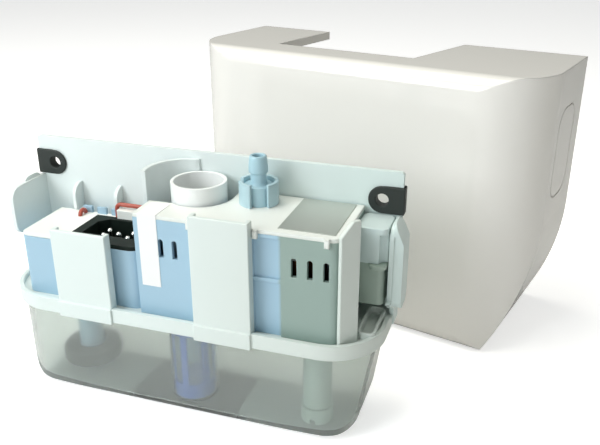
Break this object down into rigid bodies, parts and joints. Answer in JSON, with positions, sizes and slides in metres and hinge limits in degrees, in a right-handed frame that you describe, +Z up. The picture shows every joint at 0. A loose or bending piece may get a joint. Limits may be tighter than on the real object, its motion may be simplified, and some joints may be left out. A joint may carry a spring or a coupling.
{
  "type": "wall mounted condensate pump",
  "caption": "Open condensate pump: wall plate, cradle with drain inlet, frosted basin with float and strainer, pump housing with mains inlet and hose outlet, and its loose cover behind",
  "frame": {"origin": "midway between the two wall screws, on the wall face", "axes": "+X along the wall to the right as seen from the front, +Y into the wall, +Z up"},
  "size_m": [0.2289, 0.1902, 0.128],
  "materials": {
    "white": "satin white moulding",
    "cradle_white": "satin, faintly green white moulding",
    "cover_white": "glossy white moulding",
    "pale_blue": "smooth pale blue moulding",
    "frosted": "frosted translucent moulding",
    "clear": "clear moulding",
    "cage_blue": "blue moulding",
    "tube_green": "pale grey-green moulding",
    "float_grey": "dark grey-green foam",
    "black_rubber": "matt black rubber",
    "black_plastic": "black moulding",
    "bright_metal": "bright plated metal",
    "steel": "plain steel",
    "silver_film": "silver film",
    "mesh_grey": "fine woven mesh",
    "wire_red": "red-brown insulation",
    "copper": "enamelled copper wire",
    "hose": "soft clear hose",
    "board": "green circuit board",
    "board_blue": "blue component cases",
    "magnet": "dark ferrite"
  },
  "bodies": {
    "pump": {"back_plate": "white", "left_lug": "black_rubber", "right_lug": "black_rubber", "cradle": "cradle_white", "front_guards": "cradle_white", "inlet_duct": "cradle_white", "module_body": "pale_blue", "module_lid": "cradle_white", "terminal_lid": "white", "end_housing": "pale_blue", "end_cap": "cradle_white", "power_inlet": "black_plastic", "contact_pins": "bright_metal", "rating_plate": "silver_film", "seal_strip": "white", "discharge_spigot": "pale_blue", "terminal_block": "white", "lead_wires": "wire_red", "float_stem": "pale_blue", "reed_switch": "steel", "stem_clip": "white", "strainer_cup": "clear", "strainer_cage": "cage_blue", "strainer_mesh": "mesh_grey", "suction_tube": "tube_green", "foot_cap": "tube_green", "coil_yoke": "steel", "coil_bobbin": "white", "coil_winding": "copper", "pump_barrel": "white", "lower_spring": "steel", "upper_spring": "steel", "pump_mounts": "black_rubber", "suction_hose": "hose", "outlet_hose": "hose", "control_board": "board", "board_parts": "board_blue", "board_screws": "steel", "cradle_screws": "steel"},
    "basin": {"basin": "frosted"},
    "float": {"float": "float_grey", "float_magnet": "magnet"},
    "piston": {"piston": "steel"},
    "valve_ball": {"valve_ball": "steel"},
    "cover": {"cover": "cover_white"},
    "left_release_tab": {"left_release_tab": "cover_white"},
    "right_release_tab": {"right_release_tab": "cover_white"}
  },
  "joints": [
    {"name": "basin_drop", "type": "slide", "parent": "pump", "child": "basin", "axis": [0, 0, -1], "range_m": [0, 0.045]},
    {"name": "float_rise", "type": "slide", "parent": "pump", "child": "float", "axis": [0, 0, 1], "range_m": [0, 0.01]},
    {"name": "piston_stroke", "type": "slide", "parent": "pump", "child": "piston", "axis": [0, 0, 1], "range_m": [-0.0015, 0.0015], "stiffness_N_per_m": 400, "deforming": ["lower_spring", "upper_spring"]},
    {"name": "valve_lift", "type": "slide", "parent": "pump", "child": "valve_ball", "axis": [0, 0, 1], "range_m": [0, 0.0015]},
    {"name": "cover_lift", "type": "slide", "parent": "pump", "child": "cover", "axis": [0, 0, 1], "range_m": [0, 0.12]},
    {"name": "right_tab_press", "type": "hinge", "parent": "cover", "child": "right_release_tab", "pos_m": [0.13731, 0.07821, 0.022], "axis": [0.2419, 0.9703, 0], "range_deg": [0, 4], "stiffness_Nm_per_rad": 1},
    {"name": "left_tab_press", "type": "hinge", "parent": "cover", "child": "left_release_tab", "pos_m": [-0.0354, 0.12127, 0.022], "axis": [-0.2419, -0.9703, 0], "range_deg": [0, 4], "stiffness_Nm_per_rad": 1}
  ]
}
